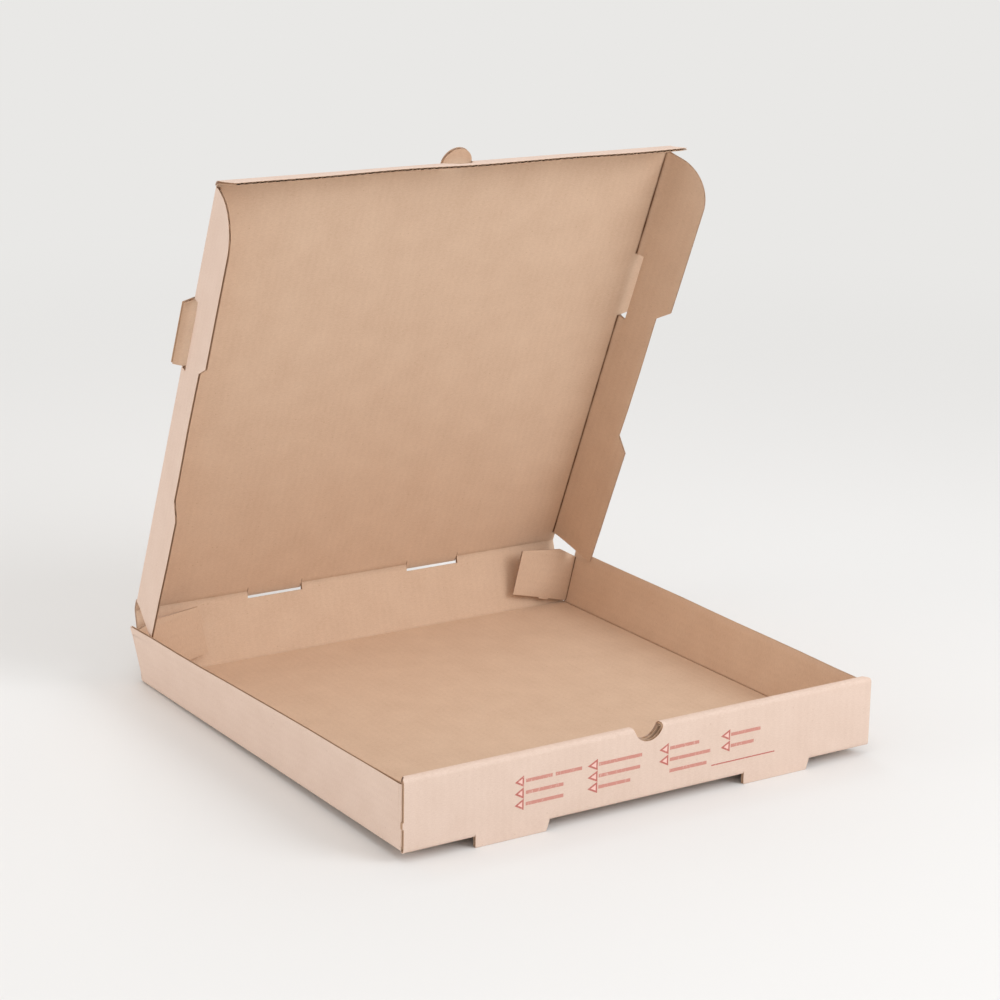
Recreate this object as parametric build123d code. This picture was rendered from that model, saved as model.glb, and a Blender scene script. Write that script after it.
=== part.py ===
from build123d import *
import os
from math import atan2, cos, degrees, radians, sin, sqrt, tan

# A pizza box of corrugated board, standing open and empty.
# Origin: centre of the tray's underside. +Y to the back, +Z up, millimetres.
# Most panels are drawn flat, with their outer face on their own XY plane, and then folded up.

# Board
board = 3.0  # thickness of the corrugated board
fold_slit = 0.3  # slit between two panels that turn on one fold
layer_clearance = 0.2  # between the layers of the rolled front wall, and round its locks
fold_radius = 2.5  # outside of a fold that stays shut
cut_overrun = 5.0  # how far every cutting body runs past what it cuts

# Tray
box_width = 412.0  # outside, left to right
box_depth = 412.0  # outside, front to back
side_height = 49.5
front_height = 54.2
left_flare = 10.0  # how far the top of the left wall leans out at its rear end
right_flare = 12.0
front_corner_flap_length = 60.0  # trapped inside the rolled front wall

# Feet and the locks of the rolled front wall
foot_length = 61.5
foot_height = 7.5
foot_slant = 2.5
foot_centre = 117.2  # from the middle of the box to the middle of a foot
lock_shortfall = 6.0  # a lock is this much shorter than its slot at each end

# Thumb notch in the front wall, and the thumb tab of the lid
thumb_radius = 13.0
notch_rise = 2.0  # the notch's centre above the wall's top
notch_shift = -1.5  # the notch sits a little to the left
thumb_clearance = 0.5

# Back flap, which carries the lid
back_height = 56.8  # up to the lid's fold, on the inner face
back_foot_inset = 1.5  # each end of its bottom edge, in from the box's side
back_lean = 16.2  # degrees behind upright
hinge_tab_length = 50.0
hinge_tab_depth = 4.8
hinge_tab_centre = 76.3
hinge_notch_depth = 5.8
hinge_notch_clearance = 0.5

# Lid
lid_side_clearance = 0.7  # its folded flaps to the tray's side walls
lid_front_clearance = 2.3  # its folded front flap to the rolled front wall
lid_opening = 67.3  # degrees from shut
side_tab_start = 237.5  # from the hinge
side_tab_length = 60.0
side_tab_reach = 9.0
side_tab_slant = 3.0
thumb_tab_shift = 1.0  # the tab sits a little to the right

# Lid side flaps
side_flap_depth = 49.0
side_flap_setback = 8.8  # rear end, from the hinge
side_flap_rear_slant = -0.8
side_flap_front_gap = 0.5  # to the front flap when both are square to the lid
side_flap_front_radius = 32.0
recess_start = 130.0  # middle of its rear step, from the hinge
recess_length = 129.5
recess_depth = 11.5
left_rear_splay = 10.0  # degrees outside square
left_front_splay = 10.0
right_rear_splay = 12.2
right_front_splay = 22.0

# Lid front flap
front_flap_depth = 27.5
front_flap_end_taper = 1.5
front_flap_splay = 28.0  # degrees outside square

# Rear corner flaps
corner_flap_length = 60.0
corner_flap_foot_gap = 0.8  # under its bottom edge
corner_flap_top_gap = 1.0  # under the side wall's top
corner_flap_lid_clearance = 0.6  # from its free end to the lid when that is shut
corner_flap_shoulder = 20.0  # length of the lowered shoulder beside the fold
corner_flap_shoulder_drop = 5.5
corner_flap_back_clearance = 0.5  # to the back flap when that is upright
nib_length = 10.0
nib_depth = 1.2
nib_share = 0.45  # place of the nib along the flap

# Mitres: the angle of board left at an edge, in degrees, so that two panels can close on each other
back_mitre = 43.0  # back flap and bottom, which close to a right angle
lid_mitre = 40.0  # lid and its flaps, which close a little past a right angle
corner_mitre = 38.0  # rear corner flaps, which swing further in
hinge_mitre = 66.0  # back flap and lid, cut on the outside for a lid that falls back

half_width = box_width / 2
half_depth = box_depth / 2
half_slit = fold_slit / 2
roll_thickness = 3 * board + 2 * layer_clearance
half_lid = half_width - board - lid_side_clearance
lid_width = 2 * half_lid
lid_length = box_depth - board - roll_thickness - lid_front_clearance
side_front = -half_depth + board + layer_clearance
side_rear = half_depth - board - corner_flap_back_clearance
side_flap_rear = side_flap_setback
side_flap_front = lid_length - board - side_flap_front_gap
hinge_tab_centres = (-hinge_tab_centre, hinge_tab_centre)


def outline(*points):
    return make_face(Polyline(*points, close=True))


def block(x_min, x_max, y_min, y_max, z_min, z_max):
    centre = Pos((x_min + x_max) / 2, (y_min + y_max) / 2, (z_min + z_max) / 2)
    return centre * Box(x_max - x_min, y_max - y_min, z_max - z_min)


def mitred(panel, start, end, angle, outside=False, keep=None):
    # Bevels the edge that runs from start to end with the sheet on its left.
    # The bevel takes the inner side off, or the outer, and spares what keep covers, such as a tab.
    along = Vector(*end) - Vector(*start)
    reach = half_slit + board / tan(radians(angle))
    outer_edge, inner_edge = (reach, half_slit) if outside else (half_slit, reach)
    section = outline(
        (-board, -cut_overrun),
        (outer_edge, -cut_overrun),
        (outer_edge, 0),
        (inner_edge, board),
        (inner_edge, board + cut_overrun),
        (-board, board + cut_overrun),
    )
    overrun = along.normalized() * cut_overrun
    edge = Plane(origin=Vector(*start) - overrun, x_dir=along.rotate(Axis.Z, 90), z_dir=along)
    cutter = extrude(edge * section, amount=along.length + 2 * cut_overrun)
    if keep is not None:
        cutter -= keep
    return panel - cutter


def wall_lean(flare):
    # Height of the rear end of a side wall, and its angle to upright.
    height = sqrt(side_height**2 - flare**2)
    return height, degrees(atan2(flare, height))


def wall_section(y, lean_out, height):
    plane = Plane(origin=(half_width, y, 0), x_dir=(1, 0, 0), z_dir=(0, -1, 0))
    return plane * outline((-board, 0), (0, 0), (lean_out, height), (lean_out - board, height))


def side_wall(flare):
    # Right-hand wall: upright at the front, leaning out towards its rear end.
    rear_height, lean = wall_lean(flare)
    front_section = wall_section(side_front, 0, side_height)
    rear_section = wall_section(side_rear, flare, rear_height)
    wall = loft([front_section, rear_section], ruled=True)
    # The rear end is mitred for the corner flap that turns on it.
    outer_face = Pos(half_width, side_rear, 0) * Rot(0, lean - 90, 0)
    wall = outer_face.inverse() * wall
    wall = mitred(wall, (side_height, 0), (0, 0), corner_mitre)
    return outer_face * wall


def front_corner_flap():
    flap = block(
        half_width - front_corner_flap_length,
        half_width,
        side_front,
        side_front + board,
        board + layer_clearance,
        side_height,
    )
    folds = flap.edges().filter_by(Axis.Z).group_by(Axis.X)[-1]
    return fillet(folds.sort_by(Axis.Y)[0], fold_radius)


def foot(centre):
    left = centre - foot_length / 2
    right = centre + foot_length / 2
    slant = right - foot_slant
    return outline((left, 0), (left, -foot_height), (slant, -foot_height), (right, 0))


def rolled_front_wall():
    # Outer panel, narrow top and inner panel: one sheet folded over the front corner flaps.
    front_plane = Plane(origin=(0, -half_depth, 0), x_dir=(1, 0, 0), z_dir=(0, -1, 0))
    inner_half = half_width - board - layer_clearance
    inner_foot = board + layer_clearance
    lock_length = foot_length - 2 * lock_shortfall
    outer_panel = Pos(0, front_height / 2) * Rectangle(box_width, front_height)
    inner_panel = Pos(0, (inner_foot + front_height) / 2) * Rectangle(
        2 * inner_half, front_height - inner_foot
    )
    for centre in (-foot_centre, foot_centre):
        outer_panel += foot(centre)
        inner_panel += Pos(centre, front_height / 2) * Rectangle(lock_length, front_height)
    wall = extrude(front_plane * outer_panel, amount=-board)
    wall += extrude(front_plane.offset(board - roll_thickness) * inner_panel, amount=-board)
    wall += block(
        -inner_half,
        inner_half,
        -half_depth,
        -half_depth + roll_thickness,
        front_height - board,
        front_height,
    )
    top_edges = wall.edges().filter_by(Axis.X).group_by(Axis.Z)[-1]
    wall = fillet(top_edges.sort_by(SortBy.LENGTH)[-2:], fold_radius)
    notch = Pos(notch_shift, -half_depth + roll_thickness / 2, front_height + notch_rise)
    return wall - notch * Rot(90, 0, 0) * Cylinder(thumb_radius, roll_thickness + 2 * cut_overrun)


def tray():
    bottom = block(-half_width, half_width, -half_depth, half_depth, 0, board)
    # The slots that the feet were cut from take the locks of the inner panel.
    for centre in (-foot_centre, foot_centre):
        bottom -= block(
            centre - foot_length / 2,
            centre + foot_length / 2,
            -half_depth + board,
            -half_depth + board + foot_height,
            -cut_overrun,
            board + cut_overrun,
        )
    bottom = mitred(bottom, (half_width, half_depth), (-half_width, half_depth), back_mitre)
    corner_flap = front_corner_flap()
    right_side = side_wall(right_flare) + corner_flap
    left_side = mirror(side_wall(left_flare) + corner_flap, about=Plane.YZ)
    return bottom + right_side + left_side + rolled_front_wall()


def hinge_row(length, y_min, y_max):
    # One rectangle at each hinge tab.
    size = Rectangle(length, y_max - y_min)
    places = [Pos(centre, (y_min + y_max) / 2) for centre in hinge_tab_centres]
    return Sketch() + [place * size for place in places]


def back_flap():
    # Drawn with its bottom fold on the X axis.
    foot_half = half_width - back_foot_inset
    face = outline(
        (-foot_half, 0),
        (foot_half, 0),
        (half_lid, back_height),
        (-half_lid, back_height),
    )
    notch_length = hinge_tab_length + 2 * hinge_notch_clearance
    face -= hinge_row(notch_length, back_height - hinge_notch_depth, back_height + cut_overrun)
    flap = extrude(face, amount=board)
    flap = mitred(flap, (-foot_half, 0), (foot_half, 0), back_mitre)
    top_right = (half_lid, back_height)
    top_left = (-half_lid, back_height)
    return mitred(flap, top_right, top_left, hinge_mitre, outside=True)


def lid_side_tab():
    # On the lid's right edge, in the lid's plane, where the side flap was cut round it.
    inner = half_lid - 2 * board
    outer = half_lid + side_tab_reach
    end = side_tab_start + side_tab_length
    return outline(
        (inner, side_tab_start),
        (half_lid, side_tab_start),
        (outer, side_tab_start + side_tab_slant),
        (outer, end - side_tab_slant),
        (half_lid, end),
        (inner, end),
    )


def lid():
    # Drawn with its hinge on the X axis and its front edge at lid_length.
    panel = Pos(0, lid_length / 2) * Rectangle(lid_width, lid_length)
    tabs = hinge_row(hinge_tab_length, -hinge_tab_depth, 2 * board)
    tabs += lid_side_tab()
    tabs += mirror(lid_side_tab(), about=Plane.YZ)
    tabs += Pos(thumb_tab_shift, lid_length) * Circle(thumb_radius)
    kept = extrude(tabs, amount=board)
    corners = [(-half_lid, 0), (half_lid, 0), (half_lid, lid_length), (-half_lid, lid_length)]
    sheet = extrude(panel, amount=board)
    sheet = mitred(sheet, corners[0], corners[1], hinge_mitre, outside=True, keep=kept)
    sheet = mitred(sheet, corners[1], corners[2], lid_mitre, keep=kept)
    sheet = mitred(sheet, corners[2], corners[3], lid_mitre, keep=kept)
    sheet = mitred(sheet, corners[3], corners[0], lid_mitre, keep=kept)
    return sheet + kept


def side_flap_plane(y, splay):
    # At the lid's right edge: x down the flap, y through it from its outer face.
    down_flap = Vector(1, 0, 0).rotate(Axis.Y, splay - 90)
    return Plane(origin=(half_lid, y, 0), x_dir=down_flap, z_dir=(0, -1, 0))


def lid_side_flap(rear_splay, front_splay):
    # A straight fold, and a flap that is twisted a little between its two ends.
    reach = half_slit + board / tan(radians(lid_mitre))
    edge = side_flap_depth
    profile = outline((half_slit, 0), (edge, 0), (edge, board), (reach, board))
    rear_section = side_flap_plane(side_flap_rear, rear_splay) * profile
    front_section = side_flap_plane(side_flap_front, front_splay) * profile
    twisted = loft([rear_section, front_section], ruled=True)
    shelf = edge - recess_depth
    half_step = recess_depth / 2
    recess_end = recess_start + recess_length
    shape = outline(
        (0, side_flap_rear),
        (edge, side_flap_rear + side_flap_rear_slant),
        (edge, recess_start - half_step),
        (shelf, recess_start + half_step),
        (shelf, recess_end - half_step),
        (edge, recess_end + half_step),
        (edge, side_flap_front),
        (0, side_flap_front),
    )
    corner = shape.vertices().sort_by_distance((edge, side_flap_front, 0))[0]
    shape = fillet(corner, side_flap_front_radius)
    opening = Rectangle(
        2 * (side_tab_reach + thumb_clearance), side_tab_length + 2 * thumb_clearance
    )
    shape -= Pos(0, side_tab_start + side_tab_length / 2) * opening
    turn = Rot(0, (rear_splay + front_splay) / 2 - 90, 0)
    cutter = extrude(shape, amount=side_flap_depth, both=True)
    return twisted & (Pos(half_lid, 0, 0) * turn * cutter)


def lid_front_flap():
    end = lid_length + front_flap_depth
    tip = half_lid - front_flap_end_taper
    face = outline((-half_lid, lid_length), (half_lid, lid_length), (tip, end), (-tip, end))
    face -= Pos(thumb_tab_shift, lid_length) * Circle(thumb_radius + thumb_clearance)
    flap = extrude(face, amount=board)
    flap = mitred(flap, (-half_lid, lid_length), (half_lid, lid_length), lid_mitre)
    return flap.rotate(Axis((0, lid_length, 0), (1, 0, 0)), 90 - front_flap_splay)


def rear_corner_flap(flare):
    # Left-hand flap, drawn with the leaning rear edge of the wall on the Y axis.
    # The lean lifts its free end, so that its top slopes down to stay under the lid.
    lean = wall_lean(flare)[1]
    foot_level = board + corner_flap_foot_gap
    top = side_height - corner_flap_top_gap
    lift = corner_flap_length * sin(radians(lean))
    end_top = (back_height - corner_flap_lid_clearance - lift) / cos(radians(lean))
    face = outline(
        (0, foot_level),
        (corner_flap_length, foot_level),
        (corner_flap_length, end_top),
        (corner_flap_shoulder, top),
        (0, top - corner_flap_shoulder_drop),
    )
    nib = Rectangle(nib_length, 2 * nib_depth)
    face += Pos(corner_flap_length * nib_share, foot_level) * nib
    flap = mitred(extrude(face, amount=board), (0, side_height), (0, 0), corner_mitre)
    fold = Plane(origin=(-half_width, side_rear, 0), x_dir=(1, 0, 0), z_dir=(0, -1, 0))
    return fold.location * Rot(0, 0, lean) * flap


back_fold = Plane(origin=(0, half_depth, 0), x_dir=(1, 0, 0), z_dir=(0, -1, 0)).location
back_place = back_fold * Rot(-back_lean, 0, 0)
lid_turn = Rot(90 + back_lean - lid_opening, 0, 0)
lid_place = back_place * Pos(0, back_height, board) * lid_turn * Pos(0, 0, -board)
left_side_flap = mirror(lid_side_flap(left_rear_splay, left_front_splay), about=Plane.YZ)
right_side_flap = lid_side_flap(right_rear_splay, right_front_splay)

nodes = {
    "tray": tray(),
    "back_flap": back_place * back_flap(),
    "lid": lid_place * lid(),
    "lid_left_flap": lid_place * left_side_flap,
    "lid_right_flap": lid_place * right_side_flap,
    "lid_front_flap": lid_place * lid_front_flap(),
    "rear_left_corner_flap": rear_corner_flap(left_flare),
    "rear_right_corner_flap": mirror(rear_corner_flap(right_flare), about=Plane.YZ),
}

os.makedirs("parts", exist_ok=True)
for name, shape in nodes.items():
    export_step(shape, f"parts/{name}.step")
    print(name, round(shape.volume), "mm3")
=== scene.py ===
from math import asin, cos, degrees, exp, pi, radians, sin

import bmesh
import bpy
from mathutils import Matrix, Vector, noise
from mathutils.geometry import intersect_line_line, intersect_point_line


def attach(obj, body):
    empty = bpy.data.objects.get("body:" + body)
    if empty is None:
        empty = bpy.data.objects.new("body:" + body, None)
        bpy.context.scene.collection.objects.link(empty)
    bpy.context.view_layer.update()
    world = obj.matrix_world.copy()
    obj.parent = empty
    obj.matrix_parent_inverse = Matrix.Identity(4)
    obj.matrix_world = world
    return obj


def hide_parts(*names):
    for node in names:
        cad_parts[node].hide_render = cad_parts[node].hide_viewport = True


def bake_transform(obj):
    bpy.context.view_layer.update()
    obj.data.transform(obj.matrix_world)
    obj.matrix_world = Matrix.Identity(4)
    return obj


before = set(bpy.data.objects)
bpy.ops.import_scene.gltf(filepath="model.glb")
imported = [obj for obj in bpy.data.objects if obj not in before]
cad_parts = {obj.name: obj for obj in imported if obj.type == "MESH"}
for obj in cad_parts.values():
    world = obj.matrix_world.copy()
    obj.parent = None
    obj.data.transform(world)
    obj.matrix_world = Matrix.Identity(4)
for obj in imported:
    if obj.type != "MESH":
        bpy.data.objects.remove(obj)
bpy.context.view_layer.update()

# A corrugated pizza box. Every panel is a flat blank in millimetres, drawn with x along its fold,
# y away from the fold and z through the board from its outer face, and is then folded up in metres.
mm = 0.001
xAxis = Vector((1, 0, 0))
yAxis = Vector((0, 1, 0))
zAxis = Vector((0, 0, 1))

board = {
    "thickness": 3.0,
    "liner": 0.35,
    "linerGap": 0.02,  # between a liner and the tips of the flutes
    "flutePitch": 6.4,
    "fluteSheet": 0.25,
    "fluteSteps": 8,  # mesh columns per flute
    "linerSteps": 4,
    "washboard": 0.014,  # how deep a liner sinks between two flutes
    "panelStep": 40.0,  # mesh rows along the flutes
    "foldReach": 4.0,  # how far a crease reaches into the panels beside it
    "creaseRows": 16,
    "crossedCreaseRows": 10,  # where the flutes run across the fold
    "creaseCrowding": 1.5,  # its rows stand closer towards the middle
    "creaseSharpness": 1.5,
    "creasePinch": 0.16,  # how far the inner liner is crushed in along a crease
    "creaseSpread": 1.8,
    "scorePinch": 0.24,  # the sharp line in the middle of it
    "scoreSpread": 0.5,
    "scoreShade": 2.4,  # how far from the middle the painted shade of a crease reaches
    "scoreBreaks": 14.0,  # the painted shade comes and goes over this length
    "scoreMean": 0.85,
    "scoreSwing": 0.5,
    "trimMargin": 3.0,
    "edgeCrush": 0.42,  # how much thinner the board is where the die cut it
    "edgeReach": 2.2,
    "foldTouch": 0.01,  # an edge this near to a fold isn't a cut one
    "cutAngle": 50.0,  # faces that meet more sharply than this are shaded apart
    "warpFade": 26.0,  # warps die away towards a fold over this distance
    "warpScale": 95.0,
}

# Layers of the board, which are also the material slots of every piece.
outerSlot, fluteSlot, innerSlot = 0, 1, 2


def placed(name, data):
    item = bpy.data.objects.new(name, data)
    bpy.context.scene.collection.objects.link(item)
    return item


def meshFrom(bm, name):
    mesh = bpy.data.meshes.new(name)
    bm.to_mesh(mesh)
    bm.free()
    return mesh


def thickened(bm, faces, vec):
    # Flat faces become a closed plate that reaches as far as vec.
    grown = bmesh.ops.extrude_face_region(bm, geom=faces)
    moved = [item for item in grown["geom"] if isinstance(item, bmesh.types.BMVert)]
    bmesh.ops.translate(bm, verts=moved, vec=vec)


def nodeMaterial(name):
    material = bpy.data.materials.new(name)
    material.use_nodes = True
    tree = material.node_tree
    tree.nodes.clear()
    output = tree.nodes.new("ShaderNodeOutputMaterial")
    shader = tree.nodes.new("ShaderNodeBsdfPrincipled")
    tree.links.new(shader.outputs["BSDF"], output.inputs["Surface"])
    return material, tree, shader


def srgb(red, green, blue):
    # Screen colour, 0 to 255, to a scene colour.
    def linear(value):
        share = value / 255
        return share / 12.92 if share <= 0.04045 else ((share + 0.055) / 1.055) ** 2.4

    return (linear(red), linear(green), linear(blue), 1)


def groupSockets(group, inputs, outputs):
    for name, kind, value in inputs:
        socket = group.interface.new_socket(name, in_out="INPUT", socket_type=kind)
        if value is not None:
            socket.default_value = value
    for name, kind in outputs:
        group.interface.new_socket(name, in_out="OUTPUT", socket_type=kind)
    return group.nodes.new("NodeGroupInput"), group.nodes.new("NodeGroupOutput")


def mathNode(tree, operation, first, second=None, clamp=False):
    node = tree.nodes.new("ShaderNodeMath")
    node.operation = operation
    node.use_clamp = clamp
    for index, value in enumerate((first, second)):
        if value is None:
            continue
        if isinstance(value, (int, float)):
            node.inputs[index].default_value = value
        else:
            tree.links.new(value, node.inputs[index])
    return node.outputs[0]


def noiseNode(tree, vector, scale, detail, roughness):
    node = tree.nodes.new("ShaderNodeTexNoise")
    node.inputs["Scale"].default_value = scale
    node.inputs["Detail"].default_value = detail
    node.inputs["Roughness"].default_value = roughness
    tree.links.new(vector, node.inputs["Vector"])
    return node.outputs["Fac"]


def colorMix(tree, factor, first, second):
    node = tree.nodes.new("ShaderNodeMix")
    node.data_type = "RGBA"
    for name, value in (("Factor", factor), ("A", first), ("B", second)):
        if isinstance(value, tuple):
            node.inputs[name].default_value = value
        else:
            tree.links.new(value, node.inputs[name])
    return node.outputs["Result"]


def stretched(tree, vector, scale):
    node = tree.nodes.new("ShaderNodeVectorMath")
    node.operation = "MULTIPLY"
    node.inputs[1].default_value = scale
    tree.links.new(vector, node.inputs[0])
    return node.outputs["Vector"]


paperPattern = {
    "cloud": (38.0, 3.0, 0.5),  # scale, detail and roughness of a noise
    "grain": (900.0, 3.0, 0.7),
    "fibre": (1.0, 2.0, 0.6),
    "fibreStretch": (320.0, 1900.0, 400.0),
    "patch": (1.0, 2.0, 0.5),  # streaks over the flutes show in patches
    "patchStretch": (60.0, 14.0, 1.0),
    "streakBend": 0.6,
    "streakDetail": 0.4,
    "speckScale": 260.0,
    "speckSize": 0.15,
    "speckRarity": 0.93,
    "fibreShare": 0.25,  # how much of the fibre's colour plain paper has
    "fibreHeight": 0.6,
    "roughness": 0.76,
    "grainRoughness": 0.12,
    "specular": 0.25,
    "bumpDepth": 0.15,  # millimetres
}


def paperGroup():
    # Kraft paper glued on flutes. Sheet holds the place on the flat blank, in metres:
    # x across the flutes, y along them, z through the board.
    group = bpy.data.node_groups.new("kraftPaper", "ShaderNodeTree")
    start, end = groupSockets(
        group,
        [
            ("Sheet", "NodeSocketVector", None),
            ("Paper", "NodeSocketColor", (0.6, 0.4, 0.3, 1)),
            ("Fibre", "NodeSocketColor", (0.4, 0.25, 0.18, 1)),
            ("Cloud", "NodeSocketFloat", 0.25),
            ("Grain", "NodeSocketFloat", 0.3),
            ("Streak", "NodeSocketFloat", 0.12),
            ("Speck", "NodeSocketFloat", 0.5),
            ("CreaseShade", "NodeSocketFloat", 0.0),
            ("CreaseShadeColor", "NodeSocketColor", (0.2, 0.12, 0.08, 1)),
        ],
        [
            ("Color", "NodeSocketColor"),
            ("Roughness", "NodeSocketFloat"),
            ("Height", "NodeSocketFloat"),
        ],
    )
    sheet = start.outputs["Sheet"]
    cloud = noiseNode(group, sheet, *paperPattern["cloud"])
    grain = noiseNode(group, sheet, *paperPattern["grain"])
    drawnOut = stretched(group, sheet, paperPattern["fibreStretch"])
    fibres = noiseNode(group, drawnOut, *paperPattern["fibre"])
    wave = group.nodes.new("ShaderNodeTexWave")
    wave.bands_direction = "X"
    wave.inputs["Scale"].default_value = pi / (10 * board["flutePitch"] * mm)  # one band a flute
    wave.inputs["Distortion"].default_value = paperPattern["streakBend"]
    wave.inputs["Detail Scale"].default_value = paperPattern["streakDetail"]
    group.links.new(sheet, wave.inputs["Vector"])
    spread = stretched(group, sheet, paperPattern["patchStretch"])
    patches = noiseNode(group, spread, *paperPattern["patch"])
    streak = mathNode(group, "MULTIPLY", wave.outputs["Fac"], patches)
    specks = group.nodes.new("ShaderNodeTexVoronoi")
    specks.inputs["Scale"].default_value = paperPattern["speckScale"]
    group.links.new(sheet, specks.inputs["Vector"])
    near = mathNode(group, "LESS_THAN", specks.outputs["Distance"], paperPattern["speckSize"])
    tone = group.nodes.new("ShaderNodeSeparateColor")
    group.links.new(specks.outputs["Color"], tone.inputs["Color"])
    rare = mathNode(group, "GREATER_THAN", tone.outputs["Red"], paperPattern["speckRarity"])
    speck = mathNode(group, "MULTIPLY", near, rare)
    total = None
    shares = (
        (mathNode(group, "SUBTRACT", cloud, 0.5), start.outputs["Cloud"]),
        (mathNode(group, "SUBTRACT", grain, 0.5), start.outputs["Grain"]),
        (mathNode(group, "SUBTRACT", fibres, 0.5), start.outputs["Grain"]),
        (streak, start.outputs["Streak"]),
        (speck, start.outputs["Speck"]),
    )
    for mask, amount in shares:
        part = mathNode(group, "MULTIPLY", mask, amount)
        total = part if total is None else mathNode(group, "ADD", total, part)
    depth = mathNode(group, "ADD", total, paperPattern["fibreShare"], clamp=True)
    color = colorMix(group, depth, start.outputs["Paper"], start.outputs["Fibre"])
    # Painted shade along the creases: the crease mask mixes the paper towards a dark brown.
    color = colorMix(group, start.outputs["CreaseShade"], color, start.outputs["CreaseShadeColor"])
    group.links.new(color, end.inputs["Color"])
    rough = mathNode(group, "MULTIPLY", grain, paperPattern["grainRoughness"])
    rough = mathNode(group, "ADD", rough, paperPattern["roughness"])
    group.links.new(rough, end.inputs["Roughness"])
    height = mathNode(group, "MULTIPLY", fibres, paperPattern["fibreHeight"])
    height = mathNode(group, "ADD", height, grain)
    group.links.new(height, end.inputs["Height"])
    return group


kraftPaper = paperGroup()


def boardMaterial(name, values):
    material, tree, shader = nodeMaterial(name)
    place = tree.nodes.new("ShaderNodeAttribute")
    place.attribute_name = "sheet"
    paper = tree.nodes.new("ShaderNodeGroup")
    paper.node_tree = kraftPaper
    tree.links.new(place.outputs["Vector"], paper.inputs["Sheet"])
    paper.inputs["Paper"].default_value = srgb(*values["paper"])
    paper.inputs["Fibre"].default_value = srgb(*values["fibre"])
    paper.inputs["CreaseShadeColor"].default_value = srgb(*values["crushAndShade"])
    for socket in ("Cloud", "Grain", "Streak", "Speck"):
        paper.inputs[socket].default_value = values[socket.lower()]
    # The crease mask, which lays painted shade along the creases.
    paintedCreaseShade = tree.nodes.new("ShaderNodeAttribute")
    paintedCreaseShade.attribute_name = "paintedCreaseShade"
    tree.links.new(paintedCreaseShade.outputs["Fac"], paper.inputs["CreaseShade"])
    bump = tree.nodes.new("ShaderNodeBump")
    bump.inputs["Strength"].default_value = values["bump"]
    bump.inputs["Distance"].default_value = paperPattern["bumpDepth"] * mm
    tree.links.new(paper.outputs["Height"], bump.inputs["Height"])
    tree.links.new(paper.outputs["Color"], shader.inputs["Base Color"])
    tree.links.new(paper.outputs["Roughness"], shader.inputs["Roughness"])
    tree.links.new(bump.outputs["Normal"], shader.inputs["Normal"])
    shader.inputs["Specular IOR Level"].default_value = paperPattern["specular"]
    return material


# Each layer also has a dark brown, painted as shade along its creases.
outerPaper = {
    "paper": (236, 214, 199),
    "fibre": (178, 140, 114),
    "crushAndShade": (150, 112, 86),
    "cloud": 0.2,
    "grain": 0.3,
    "streak": 0.04,
    "speck": 0.16,
    "bump": 0.3,
}
innerPaper = {
    "paper": (227, 199, 173),
    "fibre": (166, 126, 96),
    "crushAndShade": (112, 74, 48),
    "cloud": 0.24,
    "grain": 0.32,
    "streak": 0.045,
    "speck": 0.2,
    "bump": 0.3,
}
flutePaper = {
    "paper": (214, 180, 150),
    "fibre": (146, 104, 76),
    "crushAndShade": (146, 104, 76),
    "cloud": 0.25,
    "grain": 0.35,
    "streak": 0.0,
    "speck": 0.2,
    "bump": 0.4,
}
boardMaterials = [
    boardMaterial("outerLinerKraft", outerPaper),
    boardMaterial("fluteKraft", flutePaper),
    boardMaterial("innerLinerKraft", innerPaper),
]
print("materials made")


# Folds. A panel hangs on a line: out points away from the panel before it, in that panel's plane,
# and normal is that panel's inner side. turn is how far the fold is bent inwards, in degrees.
def foldLine(origin, along, out, normal, turn, parentEdge=None):
    return {
        "origin": Vector(origin),
        "parentEdge": Vector(origin if parentEdge is None else parentEdge),
        "along": Vector(along).normalized(),
        "out": Vector(out).normalized(),
        "normal": Vector(normal).normalized(),
        "turn": turn,
    }


def panelAxes(fold, x):
    turn = radians(fold["turn"](x) if callable(fold["turn"]) else fold["turn"])
    up = fold["out"] * cos(turn) + fold["normal"] * sin(turn)
    inward = fold["normal"] * cos(turn) - fold["out"] * sin(turn)
    return up, inward


def onPanel(fold, x, y, z):
    up, inward = panelAxes(fold, x)
    return fold["origin"] + fold["along"] * x + up * y + inward * z


def onCrease(fold, x, y, z, sharp=1.0):
    # y runs from one side of the crease to the other, round a corner that is rounded outside.
    reach = board["foldReach"]
    share = (y / reach + 1) / 2
    crushAndShade = board["creasePinch"] * exp(-((y / board["creaseSpread"]) ** 2))
    crushAndShade += sharp * board["scorePinch"] * exp(-((y / board["scoreSpread"]) ** 2))
    depth = z * (1 - crushAndShade)
    up, inward = panelAxes(fold, x)
    middle = fold["along"] * x
    before = fold["parentEdge"] + middle - fold["out"] * reach + fold["normal"] * depth
    after = fold["origin"] + middle + up * reach + inward * depth
    meeting = intersect_line_line(before, before + fold["out"], after, after - up)
    corner = (meeting[0] + meeting[1]) / 2 if meeting else (before + after) / 2
    weights = (
        (1 - share) ** 2,
        2 * share * (1 - share) * board["creaseSharpness"],
        share**2,
    )
    points = (before, corner, after)
    return sum((p * w for p, w in zip(points, weights)), Vector()) / sum(weights)


def stops(start, end, step):
    count = max(1, round((end - start) / step))
    return [start + (end - start) * index / count for index in range(count + 1)]


def arcPoints(centre, radius, startAngle, endAngle, count):
    turns = [radians(startAngle + (endAngle - startAngle) * i / count) for i in range(count + 1)]
    return [(centre[0] + radius * cos(turn), centre[1] + radius * sin(turn)) for turn in turns]


def facedOut(bm):
    # The sheets are closed and all wound alike, so that one sign serves them all.
    if bm.calc_volume(signed=True) < 0:
        bmesh.ops.reverse_faces(bm, faces=bm.faces)


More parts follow.
